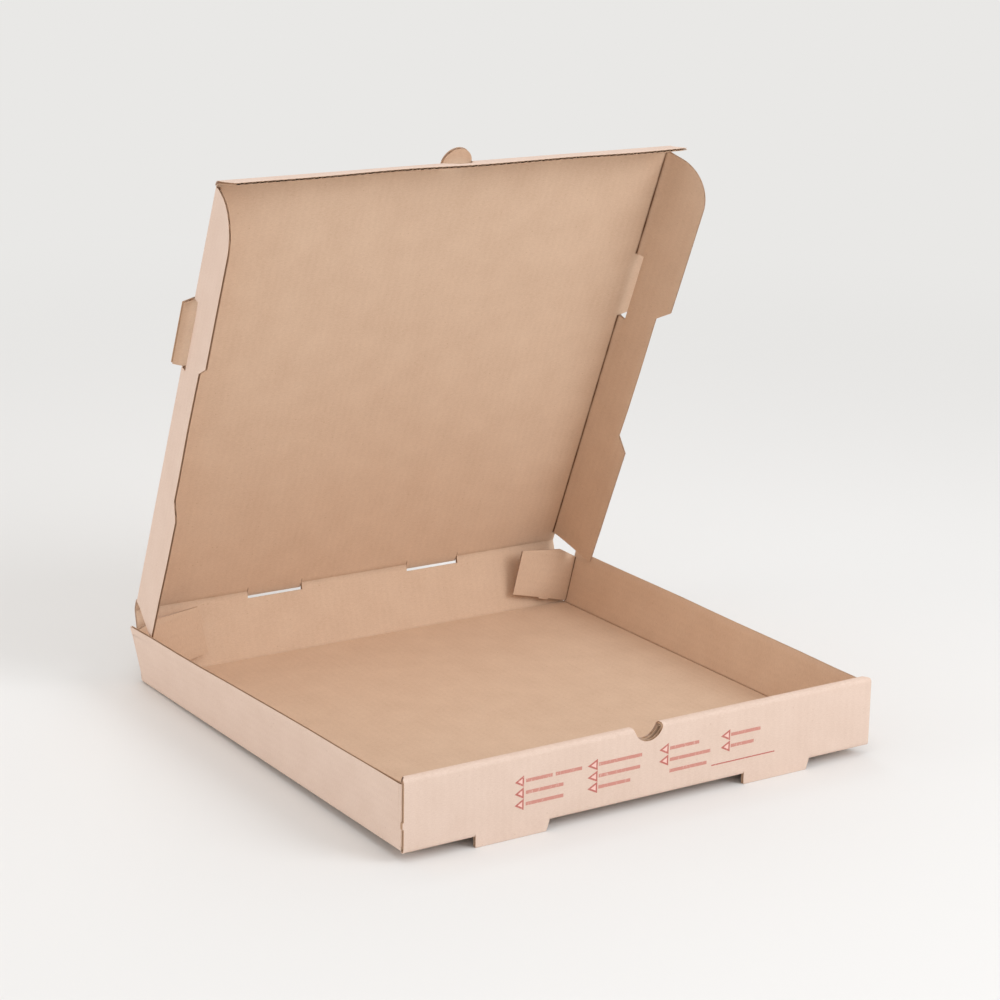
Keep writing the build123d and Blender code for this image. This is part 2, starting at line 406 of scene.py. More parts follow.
def addLayer(bm, columns, rows, surface, thickness, slot):
    # One sheet of paper: a grid laid on the surface, and thickened upwards.
    grid = bmesh.ops.create_grid(
        bm, x_segments=len(columns) - 1, y_segments=len(rows) - 1, size=1
    )
    for vertex in grid["verts"]:
        x = columns[round((vertex.co.x + 1) / 2 * (len(columns) - 1))]
        y = rows[round((vertex.co.y + 1) / 2 * (len(rows) - 1))]
        vertex.co = (x, y, surface(x, y))
    faces = list({face for vertex in grid["verts"] for face in vertex.link_faces})
    for face in faces:
        face.material_index = slot
    thickened(bm, faces, (0, 0, thickness))


def flatBoard(left, right, near, far, fluteAlong, keptRows=None, alongStep=None):
    # Two liners and the fluted sheet between them, lying flat.
    pitch = board["flutePitch"]
    liner = board["liner"]
    thickness = board["thickness"]
    middle = thickness / 2
    height = middle - liner - board["linerGap"] - board["washboard"] - board["fluteSheet"] / 2

    def phase(x, y):
        return 2 * pi * (x if fluteAlong == "y" else y) / pitch

    def sunk(x, y, glued):
        # A liner sinks a little between the tips that it is glued to.
        return board["washboard"] * (0.5 - 0.5 * cos(phase(x, y) + glued))

    bm = bmesh.new()
    for steps, slot in (
        (board["linerSteps"], outerSlot),
        (board["fluteSteps"], fluteSlot),
        (board["linerSteps"], innerSlot),
    ):
        across = pitch / steps
        if fluteAlong == "y":
            columns = stops(left, right, across)
            rows = keptRows or stops(near, far, board["panelStep"])
        else:
            columns = stops(left, right, alongStep or board["panelStep"])
            rows = keptRows or stops(near, far, across)
        if slot == outerSlot:
            addLayer(bm, columns, rows, lambda x, y: sunk(x, y, 0), liner, slot)
        elif slot == innerSlot:
            level = thickness - liner
            addLayer(bm, columns, rows, lambda x, y: level - sunk(x, y, pi), liner, slot)
        else:
            level = middle - board["fluteSheet"] / 2
            addLayer(
                bm,
                columns,
                rows,
                lambda x, y: level - height * cos(phase(x, y)),
                board["fluteSheet"],
                slot,
            )
    facedOut(bm)
    return meshFrom(bm, "blank")


def prism(points, low, high):
    bm = bmesh.new()
    face = bm.faces.new([bm.verts.new((x, y, low)) for x, y in points])
    face.material_index = fluteSlot  # cut paper shows its brown edge
    thickened(bm, [face], (0, 0, high - low))
    bmesh.ops.recalc_face_normals(bm, faces=bm.faces)
    return meshFrom(bm, "cutter")


def trimmed(mesh, cutterMesh, operation):
    sheet = placed("sheet", mesh)
    cutter = placed("cutter", cutterMesh)
    trim = sheet.modifiers.new("trim", "BOOLEAN")
    trim.operation = operation
    trim.solver = "EXACT"
    trim.object = cutter
    result = bpy.data.meshes.new_from_object(
        sheet.evaluated_get(bpy.context.evaluated_depsgraph_get())
    )
    for item in (sheet, cutter):
        bpy.data.objects.remove(item)
    return result


def fade(distance):
    share = min(1.0, max(0.0, distance / board["warpFade"]))
    return share * share * (3 - 2 * share)


def folded(mesh, place, fluteAlong, warp=None, crush=None):
    # Moves the blank's vertices to where the fold puts them, and keeps their places on the blank.
    kept = []
    middle = board["thickness"] / 2
    for vertex in mesh.vertices:
        x, y, z = vertex.co
        kept.append((x, y, z) if fluteAlong == "y" else (y, x, z))
        if crush:
            z = middle + (z - middle) * (1 - crush(x, y))
        lift = warp(x, y) if warp else 0
        vertex.co = place(x, y, z + lift) * mm
    return mesh, kept


def crushField(outline, held):
    # The die crushes the board along its cut edges, and not beside the folds.
    corners = [Vector((x, y)) for x, y in outline]
    edges = list(zip(corners, corners[1:] + corners[:1]))
    edges = [(a, b) for a, b in edges if held(*((a + b) / 2)) > board["foldTouch"]]

    def distance(spot, a, b):
        share = min(1.0, max(0.0, intersect_point_line(spot, a, b)[1]))
        return (spot - a.lerp(b, share)).length

    def crush(x, y):
        hold = min(1.0, max(0.0, held(x, y)) / board["foldReach"])
        if hold == 0:
            return 0
        nearest = min(distance(Vector((x, y)), a, b) for a, b in edges)
        return board["edgeCrush"] * hold * exp(-((nearest / board["edgeReach"]) ** 2))

    return crush


def blank(outline, fluteAlong, keptRows=None, plain=False):
    # Board cut to an outline. A plain one is the outline's own rectangle, and needs no trimming.
    margin = 0 if plain else board["trimMargin"]
    left = min(x for x, y in outline) - margin
    right = max(x for x, y in outline) + margin
    near = min(y for x, y in outline) - margin
    far = max(y for x, y in outline) + margin
    mesh = flatBoard(left, right, near, far, fluteAlong, keptRows)
    if plain:
        return mesh
    cutter = prism(outline, -margin, board["thickness"] + margin)
    return trimmed(mesh, cutter, "INTERSECT")


def panel(fold, outline, fluteAlong, warp=None, keptRows=None, plain=False, held=None):
    # held gives the distance to the nearest fold: past it, the cut edges are crushed.
    mesh = blank(outline, fluteAlong, keptRows, plain)
    crush = crushField(outline, held) if held else None
    return folded(mesh, lambda x, y, z: onPanel(fold, x, y, z), fluteAlong, warp, crush)


def crease(fold, start, end, fluteAlong, dark):
    # fluteAlong is in the fold's own axes: x where the flutes run along it, y where they cross it.
    # The rows are closest in the middle. dark is how sharp the score line is inside, and how dark
    # the painted shade along it is.
    reach = board["foldReach"]
    count = board["creaseRows"] if fluteAlong == "x" else board["crossedCreaseRows"]
    crowding = board["creaseCrowding"]
    shares = stops(-1, 1, 2 / count)
    rows = [reach * abs(share) ** crowding * (1 if share > 0 else -1) for share in shares]
    mesh = flatBoard(start, end, -reach, reach, fluteAlong, rows, board["scoreBreaks"] / 2)
    # Painted shade on the inner side of the crease, darkest in its middle and uneven along it.
    shade = mesh.attributes.new("paintedCreaseShade", "FLOAT", "POINT")
    for index, vertex in enumerate(mesh.vertices):
        inside = vertex.co.z > board["thickness"] / 2
        fall = exp(-((vertex.co.y / board["scoreShade"]) ** 2))
        spot = Vector((vertex.co.x / board["scoreBreaks"], start, end))
        uneven = board["scoreMean"] + board["scoreSwing"] * noise.noise(spot)
        shade.data[index].value = min(1, dark * fall * uneven) if inside else 0
    return folded(mesh, lambda x, y, z: onCrease(fold, x, y, z, dark), fluteAlong)


def assembled(name, parts):
    # One piece from several folded meshes, with sharp edges where paper is cut.
    bm = bmesh.new()
    places = []
    for mesh, kept in parts:
        part = bmesh.new()
        part.from_mesh(mesh)
        facedOut(part)
        part.to_mesh(mesh)
        part.free()
        bm.from_mesh(mesh)
        places += kept
    for face in bm.faces:
        face.smooth = True
    for edge in bm.edges:
        if len(edge.link_faces) == 2 and edge.calc_face_angle(0) > radians(board["cutAngle"]):
            edge.smooth = False
    mesh = meshFrom(bm, name)
    if "paintedCreaseShade" not in mesh.attributes:
        mesh.attributes.new("paintedCreaseShade", "FLOAT", "POINT")
    sheet = mesh.attributes.new("sheet", "FLOAT_VECTOR", "POINT")
    sheet.data.foreach_set("vector", [value * mm for place in places for value in place])
    for material in boardMaterials:
        mesh.materials.append(material)
    piece = placed(name, mesh)
    return piece


# Gentle unevenness of the panels: its place in the noise, its height, and how fast it grows away
# from the folds.
warps = {
    "bottom": (3.1, 1.6, 1.0),
    "leftWall": (5.3, 1.2, 1.0),
    "rightWall": (8.7, 1.2, 1.0),
    "back": (12.4, 0.7, 1.6),
    "lid": (21.7, 2.0, 1.0),
    "frontFlap": (31.9, 1.2, 1.3),
    "leftFlap": (41.2, 1.6, 1.0),
    "rightFlap": (47.8, 1.6, 1.0),
    "leftCorner": (53.3, 1.0, 1.0),
    "rightCorner": (57.1, 1.0, 1.0),
}

# How sharp the score line is along each fold's inner side, and how dark the painted shade along it
# is.
scoreSharpAndShade = {
    "side": 0.35,
    "front": 0.3,
    "frontCorner": 0.3,
    "back": 0.06,
    "hinge": 0.2,
    "sideFlap": 0.9,
    "frontFlap": 0.2,
    "rearCorner": 0.7,
}


def warpField(name, edges):
    # edges gives the distance to the nearest fold.
    seed, height, growth = warps[name]

    def lift(x, y):
        spot = Vector((x / board["warpScale"], y / board["warpScale"], seed))
        return height * noise.noise(spot) * fade(edges(x, y) * growth)

    return lift


# The box, as in the CAD model.
box = {"halfWidth": 206.0, "halfDepth": 206.0, "sideHeight": 49.5, "frontHeight": 54.2}
wall = {"front": -202.8, "rear": 202.5, "leftFlare": 10.0, "rightFlare": 12.0}
feet = {"length": 61.5, "height": 7.5, "slant": 2.5, "centre": 117.2, "lockShortfall": 6.0}
roll = {
    "thickness": 9.4,
    "cornerRadius": 3.4,
    "innerHalf": 202.8,
    "innerFoot": 3.2,
    "lockClearance": 0.3,
    "taperFrom": 0.6,  # the ends narrow from this share of the first bend
    "footStep": 12.0,  # mesh rows of the feet, the wall, the bends, the top and the inner layer
    "wallStep": 17.0,
    "bendStep": 1.3,
    "topStep": 2.6,
    "innerStep": 25.0,
    "notchRadius": 13.0,
    "notchRise": 2.0,
    "notchShift": -1.5,
    "notchSides": 72,
    "cutterLength": 56.4,  # well through both layers
    "cornerFlapLength": 60.0,
    "cornerFlapRise": 1.4,  # it stands a little higher inside the roll
    "nub": (18.0, 23.5, 1.0),  # torn paper at the left corner: low, high, proud
}
footInner = feet["centre"] - feet["length"] / 2
footOuter = feet["centre"] + feet["length"] / 2
rollRise = box["frontHeight"] - roll["cornerRadius"]
rollArc = pi / 2 * roll["cornerRadius"]
rollLevel = roll["thickness"] - 2 * roll["cornerRadius"]
back = {
    "height": 56.8,
    "foldHalf": 204.4,
    "lean": 16.2,
    "notchDepth": 5.8,
    "notchHalf": 25.5,
    "tabHalf": 25.0,
    "tabDepth": 4.8,
    "tabCentre": 76.3,
}
notchInner = back["tabCentre"] - back["notchHalf"]
notchOuter = back["tabCentre"] + back["notchHalf"]
lidSheet = {
    "half": 202.3,
    "length": 397.3,
    "opening": 67.3,
    "tabStart": 237.5,
    "tabLength": 60.0,
    "tabReach": 9.0,
    "tabSlant": 3.0,
    "thumbRadius": 13.0,
    "thumbShift": 1.0,
    "thumbClearance": 0.5,
    "thumbSides": 24,
}
tabStart = lidSheet["tabStart"]
tabEnd = lidSheet["tabStart"] + lidSheet["tabLength"]
sideFlap = {
    "depth": 49.0,
    "rear": 8.8,
    "front": 393.8,
    "rearSlant": -0.8,
    "radius": 32.0,
    "cornerSides": 16,
    "recessStart": 130.0,
    "recessLength": 129.5,
    "recessDepth": 11.5,
    "leftSplay": (10.0, 10.0),
    "rightSplay": (12.2, 22.0),
}
frontFlap = {
    "depth": 27.5,
    "taper": 1.5,
    "splay": 28.0,
    "holeSides": 20,
    "rowStep": 10.0,
    "edgeBand": 6.0,  # its rows are closer beside the cut edge
    "edgeStep": 1.5,
}
cornerFlap = {
    "length": 60.0,
    "foot": 3.8,
    "top": 48.5,
    "shoulder": 20.0,
    "shoulderDrop": 5.5,
    "lidClearance": 0.6,
    "nibCentre": 27.0,
    "nibHalf": 5.0,
    "nibDepth": 1.2,
}


def wallTurn(flare):
    # A side wall is upright in front and leans out towards the back.
    def turn(along):
        share = (along - wall["front"]) / (wall["rear"] - wall["front"])
        share = min(1.0, max(0.0, share))
        return 90 - degrees(asin(share * flare / box["sideHeight"]))

    return turn


def flapTurn(splay):
    # A lid side flap is splayed a little more at one end than at the other.
    def turn(along):
        share = (along - sideFlap["rear"]) / (sideFlap["front"] - sideFlap["rear"])
        return 90 - splay[0] - (splay[1] - splay[0]) * share

    return turn


bottomFold = foldLine((0, 0, 0), xAxis, yAxis, zAxis, 0)
leftFold = foldLine((-box["halfWidth"], 0, 0), yAxis, -xAxis, zAxis, wallTurn(wall["leftFlare"]))
rightFold = foldLine((box["halfWidth"], 0, 0), yAxis, xAxis, zAxis, wallTurn(wall["rightFlare"]))
frontFold = foldLine((0, -box["halfDepth"], 0), xAxis, -yAxis, zAxis, 90)
backFold = foldLine((0, box["halfDepth"], 0), xAxis, yAxis, zAxis, 90 - back["lean"])
backUp, backInward = panelAxes(backFold, 0)
hingeTurn = 90 + back["lean"] - lidSheet["opening"]
hingeInward = backInward * cos(radians(hingeTurn)) - backUp * sin(radians(hingeTurn))
hingeInside = onPanel(backFold, 0, back["height"], board["thickness"])
lidFold = foldLine(
    hingeInside - hingeInward * board["thickness"],
    xAxis,
    backUp,
    backInward,
    hingeTurn,
    onPanel(backFold, 0, back["height"], 0),
)
lidUp, lidInward = panelAxes(lidFold, 0)
leftFlapFold = foldLine(
    onPanel(lidFold, -lidSheet["half"], 0, 0),
    lidUp,
    -xAxis,
    lidInward,
    flapTurn(sideFlap["leftSplay"]),
)
rightFlapFold = foldLine(
    onPanel(lidFold, lidSheet["half"], 0, 0),
    lidUp,
    xAxis,
    lidInward,
    flapTurn(sideFlap["rightSplay"]),
)
frontFlapFold = foldLine(
    onPanel(lidFold, 0, lidSheet["length"], 0), xAxis, lidUp, lidInward, 90 - frontFlap["splay"]
)


def wallEndFold(sideFold, along, out):
    up, inward = panelAxes(sideFold, along)
    return foldLine(onPanel(sideFold, along, 0, 0), up, out, inward, 90)


def mirroredOutline(points):
    # Adds the same points on the other side of x = 0, in the opposite order.
    return points + [(-x, y) for x, y in reversed(points)]


def bottomPanel():
    reach = board["foldReach"]
    edge = box["halfWidth"] - reach
    slotFar = -box["halfDepth"] + board["thickness"] + feet["height"]
    outline = mirroredOutline(
        [
            (footInner, -edge),
            (footInner, slotFar),
            (footOuter, slotFar),
            (footOuter, -edge),
            (edge, -edge),
            (edge, edge),
        ]
    )

    def held(x, y):
        return edge - max(abs(x), abs(y))

    return panel(bottomFold, outline, "y", warpField("bottom", held))


def sideWall(fold, warpName):
    reach = board["foldReach"]
    top = box["sideHeight"]
    frontEnd = wall["front"] + reach
    rearEnd = wall["rear"] - reach
    shoulder = cornerFlap["top"] - cornerFlap["shoulderDrop"]
    outline = [
        (frontEnd, reach),
        (rearEnd, reach),
        (rearEnd, shoulder),
        (wall["rear"], shoulder),
        (wall["rear"], top),
        (frontEnd, top),
    ]

    def held(x, y):
        return min(y - reach, x - frontEnd, rearEnd - x if y < shoulder else wall["rear"])

    warp = warpField(warpName, lambda x, y: min(y - reach, x - frontEnd, rearEnd - x))
    return panel(fold, outline, "x", warp, held=held)


def onRoll(x, y, z):
    # The front wall is one sheet that runs up, over a narrow top and down inside.
    radius = roll["cornerRadius"]
    front = -box["halfDepth"]
    if y <= rollRise:
        return Vector((x, front + z, y))
    if y <= rollRise + rollArc:
        turn = (y - rollRise) / radius
        across = front + radius - (radius - z) * cos(turn)
        return Vector((x, across, rollRise + (radius - z) * sin(turn)))
    if y <= rollRise + rollArc + rollLevel:
        return Vector((x, front + radius + y - rollRise - rollArc, rollRise + radius - z))
    if y <= rollRise + 2 * rollArc + rollLevel:
        turn = (y - rollRise - rollArc - rollLevel) / radius
        across = front + radius + rollLevel + (radius - z) * sin(turn)
        return Vector((x, across, rollRise + (radius - z) * cos(turn)))
    drop = y - rollRise - 2 * rollArc - rollLevel
    return Vector((x, front + roll["thickness"] - z, rollRise - drop))


def thumbCutter():
    bm = bmesh.new()
    top = box["frontHeight"] + roll["notchRise"]
    bmesh.ops.create_cone(
        bm,
        cap_ends=True,
        segments=roll["notchSides"],
        radius1=roll["notchRadius"],
        radius2=roll["notchRadius"],
        depth=roll["cutterLength"],
        matrix=Matrix.Translation((roll["notchShift"], -box["halfDepth"], top))
        @ Matrix.Rotation(pi / 2, 4, "X"),
    )
    for face in bm.faces:
        face.material_index = fluteSlot
    return meshFrom(bm, "thumbCutter")


def frontWall():
    # Cut flat, rolled over and then notched through both layers. Two feet reach below the bottom,
    # and the inner layer ends in two locking tongues.
    reach = board["foldReach"]
    margin = board["trimMargin"]
    levelEnd = rollRise + rollArc + rollLevel
    rollEnd = rollRise + 2 * rollArc + rollLevel
    innerEnd = rollEnd + rollRise - roll["innerFoot"]
    lockEnd = rollEnd + rollRise - roll["lockClearance"]
    taperStart = rollRise + roll["taperFrom"] * rollArc
    slant = feet["slant"]
    halfLock = feet["length"] / 2 - feet["lockShortfall"]
    innerHalf = roll["innerHalf"]
    half = box["halfWidth"]
    outline = [
        (-half, reach),
        (-footOuter, reach),
        (-footOuter, -feet["height"]),
        (-footInner - slant, -feet["height"]),
        (-footInner, 0),
        (-footInner, reach),
        (footInner, reach),
        (footInner, -feet["height"]),
        (footOuter - slant, -feet["height"]),
        (footOuter, 0),
        (footOuter, reach),
        (half, reach),
        (half, taperStart),
        (innerHalf, levelEnd),
        (innerHalf, innerEnd),
    ]
    for centre in (feet["centre"], -feet["centre"]):
        outline += [
            (centre + halfLock, innerEnd),
            (centre + halfLock, lockEnd),
            (centre - halfLock, lockEnd),
            (centre - halfLock, innerEnd),
        ]
    outline += [(-innerHalf, innerEnd), (-innerHalf, levelEnd), (-half, taperStart)]
    low, high, proud = roll["nub"]
    outline += [(-half, high), (-half - proud, high - proud), (-half - proud, low), (-half, low)]
    rows = stops(-feet["height"] - margin, 0, roll["footStep"])
    rows += stops(0, rollRise, roll["wallStep"])[1:]
    rows += stops(rollRise, rollRise + rollArc, roll["bendStep"])[1:]
    rows += stops(rollRise + rollArc, levelEnd, roll["topStep"])[1:]
    rows += stops(levelEnd, rollEnd, roll["bendStep"])[1:]
    rows += stops(rollEnd, lockEnd + margin, roll["innerStep"])[1:]
    mesh = blank(outline, "y", rows)
    for vertex in mesh.vertices:
        vertex.co = onRoll(*vertex.co)
    mesh = trimmed(mesh, thumbCutter(), "DIFFERENCE")
    kept = [(x, z, y + box["halfDepth"]) for x, y, z in (vertex.co for vertex in mesh.vertices)]
    for vertex in mesh.vertices:
        vertex.co *= mm
    return mesh, kept


def frontCornerFlap(sideFold):
    fold = wallEndFold(sideFold, wall["front"], -yAxis)
    reach = board["foldReach"]
    top = box["sideHeight"]
    outline = [(reach, reach), (top + roll["cornerFlapRise"], roll["cornerFlapLength"])]
    flap = panel(fold, outline, "y", plain=True)
    return [flap, crease(fold, reach, top, "y", scoreSharpAndShade["frontCorner"])]


def tray():
    half = box["halfWidth"]
    edge = half - board["foldReach"]
    parts = [bottomPanel(), sideWall(leftFold, "leftWall"), sideWall(rightFold, "rightWall")]
    parts.append(frontWall())
    parts += frontCornerFlap(leftFold)
    parts += frontCornerFlap(rightFold)
    for fold in (leftFold, rightFold):
        parts.append(crease(fold, -edge, edge, "x", scoreSharpAndShade["side"]))
    for start, end in ((-half, -footOuter), (-footInner, footInner), (footOuter, half)):
        parts.append(crease(frontFold, start, end, "y", scoreSharpAndShade["front"]))
    piece = assembled("trayBoard", parts)
    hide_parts("tray")
    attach(piece, "tray")


def backPanel():
    reach = board["foldReach"]
    top = back["height"] - reach
    notchFloor = back["height"] - back["notchDepth"]
    outline = mirroredOutline(
        [
            (back["foldHalf"], reach),
            (lidSheet["half"], top),
            (notchOuter, top),
            (notchOuter, notchFloor),
            (notchInner, notchFloor),
            (notchInner, top),
        ]
    )
    warp = warpField("back", lambda x, y: min(y - reach, top - y))
    sheet = panel(backFold, outline, "y", warp)
    piece = assembled("backFlapBoard", [sheet])
    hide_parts("back_flap")
    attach(piece, "back_flap")


def lidPanel():
    reach = board["foldReach"]
    half = lidSheet["half"]
    inset = half - reach
    length = lidSheet["length"]
    front = length - reach
    tabTip = half + lidSheet["tabReach"]
    tabInner = back["tabCentre"] - back["tabHalf"]
    tabOuter = back["tabCentre"] + back["tabHalf"]
    rightHalf = [
        (tabInner, reach),
        (tabInner, -back["tabDepth"]),
        (tabOuter, -back["tabDepth"]),
        (tabOuter, reach),
        (half, reach),
        (half, sideFlap["rear"]),
        (inset, sideFlap["rear"]),
        (inset, tabStart),
        (half, tabStart),
        (tabTip, tabStart + lidSheet["tabSlant"]),
        (tabTip, tabEnd - lidSheet["tabSlant"]),
        (half, tabEnd),
        (inset, tabEnd),
        (inset, front),
    ]
    centre = (lidSheet["thumbShift"], length)
    thumb = arcPoints(centre, lidSheet["thumbRadius"], 0, 180, lidSheet["thumbSides"])
    thumb = [(thumb[0][0], front)] + thumb + [(thumb[-1][0], front)]
    outline = rightHalf + thumb + [(-x, y) for x, y in reversed(rightHalf)]
    warp = warpField("lid", lambda x, y: min(inset - abs(x), y - reach, front - y))
    sheet = panel(lidFold, outline, "y", warp)
    piece = assembled("lidBoard", [sheet])
    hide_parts("lid")
    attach(piece, "lid")


def sideFlapPanel(name, node, fold, warpName):
    reach = board["foldReach"]
    depth = sideFlap["depth"]
    shelf = depth - sideFlap["recessDepth"]
    halfStep = sideFlap["recessDepth"] / 2
    recessStart = sideFlap["recessStart"]
    recessEnd = recessStart + sideFlap["recessLength"]
    radius = sideFlap["radius"]
    clearance = lidSheet["thumbClearance"]
    openStart = tabStart - clearance
    openEnd = tabEnd + clearance
    openDepth = lidSheet["tabReach"] + clearance
    outline = [
        (sideFlap["rear"], reach),
        (sideFlap["rear"] + sideFlap["rearSlant"], depth),
        (recessStart - halfStep, depth),
        (recessStart + halfStep, shelf),
        (recessEnd - halfStep, shelf),
        (recessEnd + halfStep, depth),
    ]
    centre = (sideFlap["front"] - radius, depth - radius)
    outline += arcPoints(centre, radius, 90, 0, sideFlap["cornerSides"])
    outline += [
        (sideFlap["front"], reach),
        (openEnd, reach),
        (openEnd, openDepth),
        (openStart, openDepth),
        (openStart, reach),
    ]

    def held(x, y):
        return y - reach

    sheet = panel(fold, outline, "x", warpField(warpName, held), held=held)
    piece = assembled(name, [sheet])
    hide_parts(node)
    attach(piece, node)


def frontFlapPanel():
    reach = board["foldReach"]
    half = lidSheet["half"]
    radius = lidSheet["thumbRadius"] + lidSheet["thumbClearance"]
    startAngle = degrees(asin(reach / radius))
    centre = (lidSheet["thumbShift"], 0)
    hole = arcPoints(centre, radius, 180 - startAngle, startAngle, frontFlap["holeSides"])
    tip = half - frontFlap["taper"]
    far = frontFlap["depth"]
    outline = [(-half, reach)] + hole + [(half, reach), (tip, far), (-tip, far)]

    def held(x, y):
        return y - reach

    margin = board["trimMargin"]
    step = frontFlap["edgeStep"]
    bandStart = far - frontFlap["edgeBand"]
    rows = [reach - margin] + stops(reach, bandStart, frontFlap["rowStep"])
    rows += stops(bandStart + step, far, step) + [far + margin]
    sheet = panel(frontFlapFold, outline, "y", warpField("frontFlap", held), rows, held=held)
    piece = assembled("lidFrontFlapBoard", [sheet])
    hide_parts("lid_front_flap")
    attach(piece, "lid_front_flap")


def rearCornerFlap(name, node, sideFold, flare, warpName):
    fold = wallEndFold(sideFold, wall["rear"], yAxis)
    reach = board["foldReach"]
    lean = asin(flare / box["sideHeight"])
    length = cornerFlap["length"]
    foot = cornerFlap["foot"]
    endTop = (back["height"] - cornerFlap["lidClearance"] - length * sin(lean)) / cos(lean)
    shoulder = cornerFlap["shoulder"]
    drop = cornerFlap["shoulderDrop"]
    start = cornerFlap["top"] - drop
    nibStart = cornerFlap["nibCentre"] - cornerFlap["nibHalf"]
    nibEnd = cornerFlap["nibCentre"] + cornerFlap["nibHalf"]
    outline = [
        (foot, reach),
        (foot, nibStart),
        (foot - cornerFlap["nibDepth"], nibStart),
        (foot - cornerFlap["nibDepth"], nibEnd),
        (foot, nibEnd),
        (foot, length),
        (endTop, length),
        (cornerFlap["top"], shoulder),
        (start + drop * reach / shoulder, reach),
    ]

    def held(x, y):
        return y - reach

    sheet = panel(fold, outline, "y", warpField(warpName, held), held=held)
    piece = assembled(name, [sheet])
    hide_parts(node)
    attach(piece, node)
    return fold


def bendingCrease(name, fold, spans, fluteAlong, dark):
    # A crease between two moving panels, built in place as a piece of its own.
    piece = assembled(name, [crease(fold, start, end, fluteAlong, dark) for start, end in spans])
    middle = (spans[0][0] + spans[-1][1]) / 2
    reach = board["foldReach"]
    inside = board["thickness"]
    start = onCrease(fold, middle, -reach, inside) * mm
    end = onCrease(fold, middle, reach, inside) * mm
    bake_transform(piece)


def lidCreases():
    half = lidSheet["half"]
    dark = scoreSharpAndShade["hinge"]
    spans = [(-half, -notchOuter), (-notchInner, notchInner), (notchOuter, half)]
    bendingCrease("lidHingeCrease", lidFold, spans, "y", dark)
    dark = scoreSharpAndShade["sideFlap"]
    spans = [(sideFlap["rear"], tabStart), (tabEnd, lidSheet["length"] - board["foldReach"])]
    bendingCrease("leftFlapCrease", leftFlapFold, spans, "x", dark)
    bendingCrease("rightFlapCrease", rightFlapFold, spans, "x", dark)
    dark = scoreSharpAndShade["frontFlap"]
    hole = lidSheet["thumbRadius"] + lidSheet["thumbClearance"]
    shift = lidSheet["thumbShift"]
    spans = [(-half, shift - hole), (shift + hole, half)]
    bendingCrease("frontFlapCrease", frontFlapFold, spans, "y", dark)


def foldedBox():
    tray()
    print("tray folded")
    backPanel()
    lidPanel()
    print("back flap and lid made")
    sideFlapPanel("lidLeftFlapBoard", "lid_left_flap", leftFlapFold, "leftFlap")
    sideFlapPanel("lidRightFlapBoard", "lid_right_flap", rightFlapFold, "rightFlap")
    frontFlapPanel()
    leftCorner = rearCornerFlap(
        "rearLeftCornerBoard", "rear_left_corner_flap", leftFold, wall["leftFlare"], "leftCorner"
    )
    rightCorner = rearCornerFlap(
        "rearRightCornerBoard",
        "rear_right_corner_flap",
        rightFold,
        wall["rightFlare"],
        "rightCorner",
    )
    print("flaps made")
    spans = [(-back["foldHalf"], back["foldHalf"])]
    bendingCrease("backCrease", backFold, spans, "y", scoreSharpAndShade["back"])
    lidCreases()
    dark = scoreSharpAndShade["rearCorner"]
    spans = [(cornerFlap["foot"], cornerFlap["top"] - cornerFlap["shoulderDrop"])]
    bendingCrease("leftCornerCrease", leftCorner, spans, "y", dark)
    bendingCrease("rightCornerCrease", rightCorner, spans, "y", dark)
    print("creases bent")


foldedBox()


# Print on the front wall, as plain shapes: hollow triangles, bars where words stand, and one rule.
ink = {
    "color": (192, 114, 104),
    "barColor": (204, 142, 129),  # a line of small print seen from a step away
    "fillColor": (238, 199, 188),
    "worn": (1.0, 3.0, 0.7),  # scale, detail and roughness of the noise that wears it
    "wornStretch": (700.0, 700.0, 260.0),
    "wornFrom": 0.56,
    "wornContrast": 3.0,
    "roughness": 0.75,
    "proud": 0.06,
    "sunk": 0.1,
    "stroke": 1.3,
    "ruleHeight": 0.95,
    "barHeight": 2.6,
    "triangleHeight": 8.6,
    "columns": [  # left and right of the triangle, then the rows' middles
        (-116.2, -108.6, (34.1, 25.3, 16.8)),
        (-54.6, -46.0, (34.1, 25.3, 16.8)),
        (8.1, 16.3, (34.1, 25.3)),
        (63.8, 72.2, (34.1, 25.3)),
    ],
    "bars": [  # left, right, middle height
        (-106.9, -84.6, 34.1),
        (-82.0, -59.5, 34.1),
        (-106.9, -75.0, 25.3),
        (-106.9, -75.0, 16.8),
        (-45.0, -7.3, 34.1),
        (-45.0, -8.7, 25.3),
        (-45.0, -17.1, 16.8),
        (17.6, 43.9, 34.1),
        (17.6, 54.4, 25.3),
        (17.6, 51.3, 16.6),
        (73.0, 100.4, 34.1),
        (73.0, 94.4, 25.3),
    ],
    "rule": (55.8, 114.6, 13.2),
}
strokeSlot, barSlot, fillSlot = 0, 1, 2


def inkMaterial(name, color):
    material, tree, shader = nodeMaterial(name)
    place = tree.nodes.new("ShaderNodeTexCoord")
    drawnOut = stretched(tree, place.outputs["Object"], ink["wornStretch"])
    worn = noiseNode(tree, drawnOut, *ink["worn"])
    bare = mathNode(tree, "SUBTRACT", worn, ink["wornFrom"])
    bare = mathNode(tree, "MULTIPLY", bare, ink["wornContrast"], clamp=True)
    color = colorMix(tree, bare, srgb(*color), srgb(*outerPaper["paper"]))
    tree.links.new(color, shader.inputs["Base Color"])
    shader.inputs["Roughness"].default_value = ink["roughness"]
    shader.inputs["Specular IOR Level"].default_value = paperPattern["specular"]
    return material


def inkShape(bm, points, slot, hollow=0):
    # A plate of ink. A hollow one is a band round a paler plate.
    face = bm.faces.new([bm.verts.new((x, -box["halfDepth"] + ink["sunk"], z)) for x, z in points])
    face.material_index = slot
    if hollow:
        face.normal_update()
        bmesh.ops.inset_individual(bm, faces=[face], thickness=hollow, use_even_offset=True)
        face.material_index = fillSlot
    plate = list({near for edge in face.edges for near in edge.link_faces})
    thickened(bm, plate, (0, -ink["sunk"] - ink["proud"], 0))


